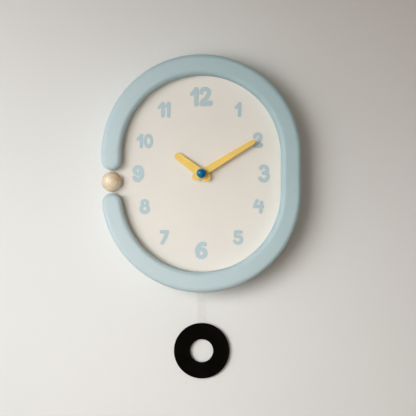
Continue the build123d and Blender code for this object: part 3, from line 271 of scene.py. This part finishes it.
def turned_wood():
    """Pale oiled wood turned with its end grain to the viewer.

    It has growth rings, a darker upper right quarter, pores, streaks and tool lines.
    """
    pale = (0.79, 0.69, 0.51)
    dark = (0.69, 0.52, 0.325)
    upper_right_brown = (0.66, 0.40, 0.20)
    pith = (ball_centre.x + 0.002, ball_centre.y, ball_centre.z - 0.0012)
    finish = Finish("oiled_wood", specular=0.3, coat=0.12, coat_roughness=0.15)
    about = finish.moved(centre=pith, stretch=(1, 0.2, 0.85))
    rings = finish.waves(0.0038, "RINGS", "Y", 1.1, 1.5, 0.3, about)
    fine = finish.waves(0.0009, "RINGS", "Y", 2.0, 3.0, 0.6, about)
    broad = finish.noise(0.011, 3, 0.55, 0.5, about)
    pores = finish.noise(0.00035, 2, 0.6, 0, finish.moved(centre=pith, stretch=(1, 0.15, 1)))
    streak = finish.noise(0.0012, 3, 0.6, 0.2, finish.moved(centre=pith, stretch=(1, 0.08, 1)))
    tool = finish.waves(0.0005, "BANDS", "Y", 0.4, 1.0, 1.0)
    ring_line = finish.span(rings, 0, 0.8, 0.3, 1.0)
    tone = finish.blend(ring_line, pale, dark)
    tone = finish.blend(finish.span(fine, 0, 0.18, 0.3, 1), tone, shade(dark, 1.15))
    tone = finish.blend(finish.span(broad, 0, 0.5, 0.42, 0.7), tone, shade(pale, 1.05))
    tone = finish.blend(finish.span(pores, 0, 0.4, 0.62, 0.75), tone, shade(dark, 0.65))
    tone = finish.blend(finish.span(streak, 0, 0.2, 0.5, 0.8), tone, shade(dark, 0.9))
    # The upper right quarter is blended toward a browner colour, more strongly toward the right.
    across = finish.add("ShaderNodeSeparateXYZ")
    finish.link(finish.moved(centre=tuple(ball_centre)), across.inputs[0])
    upper_half = finish.span(across.outputs["Z"], 0, 1, 0.0008, 0.0014)
    right_side = finish.span(across.outputs["X"], 0, 0.5, 0.001, 0.007)
    tone = finish.blend(finish.maths("MULTIPLY", upper_half, right_side), tone, upper_right_brown)
    finish.colour(tone)
    gloss = finish.span(ring_line, 0.36, 0.46)
    finish.roughness(finish.maths("ADD", gloss, finish.span(pores, 0, 0.15, 0.55, 0.75)))
    finish.bumps((ring_line, 0.00006, 0.3), (pores, 0.00006, 0.4), (tool, 0.000015, 0.25))
    return finish.material


def painted_hand():
    """Satin yellow paint on punched aluminium: orange peel, slow changes of tone and dust specks."""
    yellow = (0.93, 0.655, 0.146)
    finish = Finish("hand_paint", specular=0.3)
    peel = finish.noise(0.0011, 2, 0.5)
    clouds = finish.noise(0.02, 3, 0.5, 0.5)
    speck = finish.cells(0.0035)
    tone = finish.blend(finish.span(clouds, 0, 1, *NOISE_BODY), shade(yellow, 0.96), shade(yellow, 1.04))
    tone = finish.blend(finish.span(speck, 0.35, 0, 0.02, 0.09), tone, shade(yellow, 0.72))
    finish.colour(tone)
    finish.roughness(finish.span(peel, 0.36, 0.5, *NOISE_BODY))
    finish.bumps((peel, 0.00004, 0.35))
    return finish.material


def glossy_cap():
    """Polished blue plastic with hairline polishing marks and a little dust."""
    blue = (0.0, 0.152, 0.33)
    finish = Finish("cap_gloss", specular=0.02, coat=0.3, coat_roughness=0.03)
    clouds = finish.noise(0.004, 3, 0.5, 0.4)
    hairs = finish.noise(0.0005, 3, 0.7, 0.6, finish.moved(turn=(0.4, 0.2, 0.7), stretch=(1, 0.1, 1)))
    dust = finish.cells(0.0014)
    tone = finish.blend(finish.span(clouds, 0, 1, *NOISE_BODY), shade(blue, 0.9), shade(blue, 1.12))
    tone = finish.blend(finish.span(dust, 0.12, 0, 0.03, 0.1), tone, (0.35, 0.45, 0.52))
    finish.colour(tone)
    finish.roughness(finish.span(hairs, 0.06, 0.14, 0.45, 0.75))
    finish.bumps((hairs, 0.00001, 0.25))
    return finish.material


def powder_black():
    """Flat black powder coat: fine pebbling and a few paler rubbed spots."""
    black = (0.0026, 0.0023, 0.0018)
    finish = Finish("bob_powder", specular=0.015)
    pebble = finish.noise(0.00045, 3, 0.6)
    clouds = finish.noise(0.012, 3, 0.55, 0.6)
    tone = finish.blend(finish.span(clouds, 0, 1, 0.35, 0.7), black, shade(black, 1.5))
    tone = finish.blend(finish.span(pebble, 0, 0.3, 0.6, 0.8), tone, shade(black, 2.4))
    finish.colour(tone)
    finish.roughness(finish.span(pebble, 0.78, 0.95, *NOISE_BODY))
    finish.bumps((pebble, 0.00006, 0.6))
    return finish.material


def clear_rod():
    """Clear acrylic strip, faintly grey, with handling marks. Lamps shine through it almost unchanged."""
    finish = Finish("clear_acrylic", roughness=0.03)
    finish.shader.inputs["Transmission Weight"].default_value = 1.0
    finish.shader.inputs["IOR"].default_value = 1.49
    smears = finish.noise(0.009, 3, 0.6, 0.6)
    hairs = finish.noise(0.0006, 3, 0.7, 0.4, finish.moved(turn=(0, 0.12, 0), stretch=(1, 1, 0.05)))
    clean, smeared = (0.99, 0.995, 0.995), (0.965, 0.97, 0.97)
    finish.colour(finish.blend(finish.span(smears, 0, 1, 0.35, 0.7), clean, smeared))
    gloss = finish.span(smears, 0.01, 0.06, 0.4, 0.7)
    finish.roughness(finish.maths("ADD", gloss, finish.span(hairs, 0, 0.1, 0.62, 0.75)))
    finish.bumps((hairs, 0.00001, 0.15))
    clear = finish.add("ShaderNodeBsdfTransparent")
    clear.inputs["Color"].default_value = (0.98, 0.98, 0.98, 1)
    rays = finish.add("ShaderNodeLightPath").outputs
    light_ray = finish.maths("MAXIMUM", rays["Is Shadow Ray"], rays["Is Diffuse Ray"])
    mixed = finish.add("ShaderNodeMixShader")
    finish.link(light_ray, mixed.inputs[0])
    finish.link(finish.shader.outputs["BSDF"], mixed.inputs[1])
    finish.link(clear.outputs["BSDF"], mixed.inputs[2])
    finish.link(mixed.outputs[0], finish.output.inputs["Surface"])
    return finish.material


def black_rubber():
    """Moulded rubber with patches of bloom."""
    black = (0.018, 0.018, 0.018)
    finish = Finish("bumper_rubber", specular=0.3)
    bloom = finish.noise(0.003, 4, 0.6, 0.5)
    grain = finish.noise(0.0004, 2, 0.6)
    finish.colour(finish.blend(finish.span(bloom, 0, 1, 0.45, 0.75), black, shade(black, 2.4)))
    finish.roughness(finish.span(grain, 0.68, 0.88, *NOISE_BODY))
    finish.bumps((grain, 0.00004, 0.5))
    return finish.material


def wire_winding():
    """Enamelled copper wire wound in close turns, with painted shade in the grooves between the turns."""
    finish = Finish("coil_wire", metallic=1.0, coat=0.5, coat_roughness=0.15)
    turns = finish.waves(0.00018, "BANDS", "X", 0.15, 1.0, 2.0)
    layers = finish.noise(0.002, 3, 0.6)
    # The dark colour of each band is painted shade in the groove between two turns.
    tone = finish.blend(turns, (0.32, 0.10, 0.04), (0.78, 0.34, 0.15))
    finish.colour(finish.blend(finish.span(layers, 0, 0.35, 0.45, 0.7), tone, (0.85, 0.45, 0.2)))
    finish.roughness(finish.span(turns, 0.45, 0.25))
    finish.bumps((turns, 0.00008, 0.9))
    return finish.material


def circuit_board():
    """Green solder resist with raised copper tracks and tinned pads."""
    green = (0.015, 0.13, 0.055)
    finish = Finish("board_resist", specular=0.5, coat=0.3, coat_roughness=0.2)
    tracks = finish.waves(0.0016, "BANDS", "Z", 1.8, 1.0, 0.12)
    line = finish.span(tracks, 0, 1, 0.62, 0.7)
    pads = finish.span(finish.cells(0.0034), 1, 0, 0.16, 0.2)
    weave = finish.waves(0.0005, "BANDS", "X", 0.0)
    tone = finish.blend(line, green, shade(green, 2.0))
    tone = finish.blend(finish.span(weave, 0, 0.12), tone, shade(green, 1.6))
    tone = finish.blend(pads, tone, (0.62, 0.63, 0.6))
    finish.colour(tone)
    finish.link(pads, finish.shader.inputs["Metallic"])
    finish.roughness(finish.span(pads, 0.42, 0.22))
    finish.bumps((line, 0.00004, 0.6), (pads, 0.0001, 0.6))
    return finish.material


def battery_sleeve():
    """Plain battery sleeve: a copper-coloured band toward one end, a dark wrap elsewhere, bare steel ends."""
    low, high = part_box("battery")
    length = high.x - low.x
    finish = Finish("battery_sleeve", specular=0.5, coat=0.35, coat_roughness=0.18)
    along = finish.add("ShaderNodeSeparateXYZ")
    finish.link(finish.moved(centre=(low.x, 0, 0)), along.inputs[0])
    scuff = finish.noise(0.0016, 4, 0.65, 0.8, finish.moved(stretch=(0.25, 1, 1)))
    band = finish.span(along.outputs["X"], 0, 1, 0.72 * length, 0.725 * length)
    tone = finish.blend(band, (0.02, 0.021, 0.024), (0.62, 0.31, 0.13))
    tone = finish.blend(finish.span(scuff, 0, 0.35, 0.6, 0.8), tone, (0.3, 0.29, 0.28))
    flat_end, nub_end, edge = 0.001, length - 0.002, 0.0001
    low_end = finish.span(along.outputs["X"], 1, 0, flat_end - edge, flat_end + edge)
    high_end = finish.span(along.outputs["X"], 0, 1, nub_end - edge, nub_end + edge)
    bare = finish.maths("MAXIMUM", low_end, high_end)
    finish.colour(finish.blend(bare, tone, (0.66, 0.65, 0.62)))
    metallic = finish.maths("MAXIMUM", bare, finish.maths("MULTIPLY", band, 0.7))
    finish.link(metallic, finish.shader.inputs["Metallic"])
    finish.roughness(finish.span(scuff, 0.24, 0.45, 0.35, 0.75))
    finish.bumps((scuff, 0.00003, 0.4))
    return finish.material


# The frame is painted paler where the key light falls and deeper blue, as painted shade, away from it.
deep_blue = (0.407, 0.581, 0.614)
painted_lit_blue = (0.504, 0.627, 0.649)
finishes = {
    "frame_blue": moulded("soft_touch_blue", painted_lit_blue, grain=0.0007, depth=0.00004, roughness=0.52,
                          variation=0.018, gloss_change=0.05, specular=0.6, scuffs=0.25, painted_shade_colour=deep_blue),
    "cover_blue": moulded("cover_plastic", shade(deep_blue, 0.85), grain=0.0011, depth=0.00009,
                          roughness=0.68, gloss_change=0.06, specular=0.4, scuffs=0.35),
    "dial_cream": painted_dial(),
    "turned_wood": turned_wood(),
    "hand_yellow": painted_hand(),
    "cap_blue": glossy_cap(),
    "bob_black": powder_black(),
    "clear_acrylic": clear_rod(),
    "zinc_steel": metal("zinc_plate", (0.66, 0.67, 0.68), roughness=0.34, brush=(1, 0.3, 1), spangle=0.0012),
    "nickel_spring": metal("nickel_plate", (0.72, 0.70, 0.65), roughness=0.22, brush=(1, 1, 0.08)),
    "lamination": metal("dull_steel", (0.42, 0.42, 0.43), roughness=0.45, brush=(0.1, 1, 1)),
    "brass": metal("turned_brass", (0.83, 0.62, 0.27), roughness=0.26, brush=(1, 0.1, 1),
                   stain=(0.5, 0.33, 0.13)),
    "copper_winding": wire_winding(),
    "case_black": moulded("case_texture", (0.022, 0.022, 0.024), grain=0.0006, depth=0.00008,
                          roughness=0.6, variation=0.12, specular=0.4, scuffs=0.3),
    "acetal_white": moulded("acetal", (0.80, 0.79, 0.75), grain=0.0006, depth=0.00002, roughness=0.38,
                            variation=0.02, gloss_change=0.05),
    "rotor_grey": moulded("magnet_grey", (0.23, 0.23, 0.25), grain=0.0005, depth=0.00003, roughness=0.42,
                          variation=0.08, gloss_change=0.06),
    "knob_plastic": moulded("knob_red", (0.55, 0.055, 0.045), grain=0.0006, depth=0.00003, roughness=0.4,
                            variation=0.06, gloss_change=0.07, scuffs=0.3),
    "board_green": circuit_board(),
    "chip_black": moulded("epoxy_black", (0.012, 0.012, 0.013), grain=0.0005, depth=0.00003,
                          roughness=0.3, variation=0.1),
    "battery_wrap": battery_sleeve(),
    "rubber_black": black_rubber(),
}
numeral_finish = moulded("numeral_blue", (0.47, 0.612, 0.64), grain=0.0006, depth=0.00003, roughness=0.5,
                         variation=0.015, gloss_change=0.05, specular=0.4)

for part in frame["record"]["subparts"]:
    node = part["node"]
    material = numeral_finish if node.startswith("numeral_") else finishes[part["material_slot"]]
    for slot in nodes[node].material_slots:
        slot.material = material


# ---------------------------------------------------------------- wall, floor
def plane(name, corners, material):
    """A flat sheet of the room, from (x, y, z) corners, facing the side they run anticlockwise from."""
    mesh = bpy.data.meshes.new(name)
    mesh.from_pydata(corners, [], [tuple(range(len(corners)))])
    mesh.materials.append(material)
    sheet = bpy.data.objects.new(name, mesh)
    bpy.context.scene.collection.objects.link(sheet)


def room_paint(name, colour, see_through_back):
    """Matt emulsion with a roller's stipple. With see_through_back, its back isn't drawn."""
    finish = Finish(name, specular=0.25)
    clouds = finish.noise(0.25, 2, 0.5)
    stipple = finish.noise(0.0016, 3, 0.55)
    darker, lighter = shade(colour, 0.99), shade(colour, 1.01)
    finish.colour(finish.blend(finish.span(clouds, 0, 1, *NOISE_BODY), darker, lighter))
    finish.roughness(finish.span(stipple, 0.8, 0.92, *NOISE_BODY))
    finish.bumps((stipple, 0.00005, 0.25))
    if see_through_back:
        back = finish.add("ShaderNodeNewGeometry").outputs["Backfacing"]
        mixed = finish.add("ShaderNodeMixShader")
        finish.link(back, mixed.inputs[0])
        finish.link(finish.shader.outputs["BSDF"], mixed.inputs[1])
        finish.link(finish.add("ShaderNodeBsdfTransparent").outputs["BSDF"], mixed.inputs[2])
        finish.link(mixed.outputs[0], finish.output.inputs["Surface"])
    return finish.material


wall_y = cad_high.y + WALL_GAP
floor_z = dial_centre.z - FLOOR_DROP
ceiling_z = dial_centre.z + FLOOR_DROP
wall_corners = [
    (-ROOM_HALF, wall_y, floor_z),
    (ROOM_HALF, wall_y, floor_z),
    (ROOM_HALF, wall_y, ceiling_z),
    (-ROOM_HALF, wall_y, ceiling_z),
]
floor_corners = [
    (-ROOM_HALF, -ROOM_HALF, floor_z),
    (ROOM_HALF, -ROOM_HALF, floor_z),
    (ROOM_HALF, ROOM_HALF, floor_z),
    (-ROOM_HALF, ROOM_HALF, floor_z),
]
# The wall isn't drawn from behind, so that the clock's back shows.
plane("wall", wall_corners, room_paint("wall_paint", (0.77, 0.783, 0.757), see_through_back=True))
plane("floor", floor_corners, room_paint("floor_paint", (0.76, 0.75, 0.73), see_through_back=False))


# ---------------------------------------------------------------- light and camera
def soft_light(name, place, aim, size, power, colour, spread=180.0):
    """A rectangular lamp at a place, facing a point, both measured from the dial's centre."""
    data = bpy.data.lights.new(name, "AREA")
    data.shape = "RECTANGLE"
    data.size, data.size_y = size
    data.energy = power
    data.color = colour
    data.spread = math.radians(spread)
    lamp = bpy.data.objects.new(name, data)
    lamp.location = dial_centre + Vector(place)
    lamp.rotation_euler = (Vector(aim) - Vector(place)).to_track_quat("-Z", "Y").to_euler()
    bpy.context.scene.collection.objects.link(lamp)
    return lamp


def collection_of(name, pieces):
    """A collection of named pieces, for a lamp to light or to be blocked by."""
    group = bpy.data.collections.new(name)
    for piece in pieces:
        group.objects.link(nodes[piece])
    return group


# The key comes from the left in two beams: one aimed at the wall left of the clock, one low on its right.
KEY_PLACE = (-0.64, -1.1, -0.05)
KEY_SIZE = (0.85, 0.75)
COOL, FAINTLY_COOL = (0.975, 1.0, 1.05), (1.0, 1.0, 1.02)
FAINTLY_WARM, WARM = (1.05, 1.0, 1.0), (1.3, 1.0, 0.8)
soft_light("key_wide", KEY_PLACE, (-0.8, 0.0, 0.1), KEY_SIZE, 3.05, COOL, spread=95.0)
soft_light("key_narrow", KEY_PLACE, (0.2, 0.0, -0.4), KEY_SIZE, 2.2, FAINTLY_COOL, spread=62.0)
soft_light("side_window", (-1.7, -0.9, -0.1), (0.1, 0.0, -0.1), (0.9, 0.9), 1.6, FAINTLY_WARM, spread=100.0)
soft_light("front_fill", (0.05, -1.9, 0.0), (0.0, 0.0, -0.05), (2.0, 2.0), 5.8, WARM)

# Two lamps behind the wall light the clock's back, and only the clock blocks them. The frame has its own,
# which leaves no reflection, because that would show from the front as a white streak on the frame's side.
REAR = ((0.5, 2.2, 0.9), (0, 0, -0.1), (3.4, 2.6), 22.0, (1.0, 0.98, 0.95), 120.0)
rear_lamp = soft_light("rear_fill", *REAR)
rear_frame_lamp = soft_light("rear_frame_fill", *REAR)
rear_frame_lamp.visible_glossy = False
back_names = [name for name in nodes if name not in FRONT_PIECES and name != "frame_shell"]
rear_lamp.light_linking.receiver_collection = collection_of("back_pieces", back_names)
rear_frame_lamp.light_linking.receiver_collection = collection_of("frame_only", ["frame_shell"])
all_pieces = collection_of("all_pieces", nodes)
for lamp in (rear_lamp, rear_frame_lamp):
    lamp.light_linking.blocker_collection = all_pieces

# A bright window that only the two glossy balls show, as a reflection: strong in the cap, soft in the wood.
CATCHLIGHT_PLACE = (-1.0, -0.62, 0.36)
CATCHLIGHT_AIM = (0, 0, 0.09)
CATCHLIGHT_SIZE = (0.66, 0.4)
WHITE = (1, 1, 1)
for name, power in (("cap_ball", 72.0), ("wooden_ball", 24.0)):
    lamp = soft_light("catchlight_" + name, CATCHLIGHT_PLACE, CATCHLIGHT_AIM, CATCHLIGHT_SIZE, power, WHITE)
    lamp.visible_diffuse = False
    lamp.light_linking.receiver_collection = collection_of("only_" + name, [name])

ROOM_TINT = (1.15, 1.0, 0.85, 1)
ROOM_STRENGTH = 0.06
world = bpy.data.worlds.new("room_light")
world.use_nodes = True
background = world.node_tree.nodes["Background"]
background.inputs["Color"].default_value = ROOM_TINT
background.inputs["Strength"].default_value = ROOM_STRENGTH
bpy.context.scene.world = world

camera_data = bpy.data.cameras.new("camera")
camera_data.sensor_width = SENSOR
camera_data.lens = SENSOR * CAMERA_DISTANCE / VIEW_WIDTH
camera_data.clip_start = CLIP_NEAR
camera_data.clip_end = CLIP_FAR
camera = bpy.data.objects.new("camera", camera_data)
camera.location = (
    dial_centre.x + CAMERA_SIDE,
    frame_front - CAMERA_DISTANCE,
    dial_centre.z - CAMERA_DROP,
)
camera.rotation_euler = (math.pi / 2, 0, 0)
bpy.context.scene.collection.objects.link(camera)
bpy.context.scene.camera = camera

view = bpy.context.scene.view_settings
view.view_transform = "Standard"
view.look = "None"
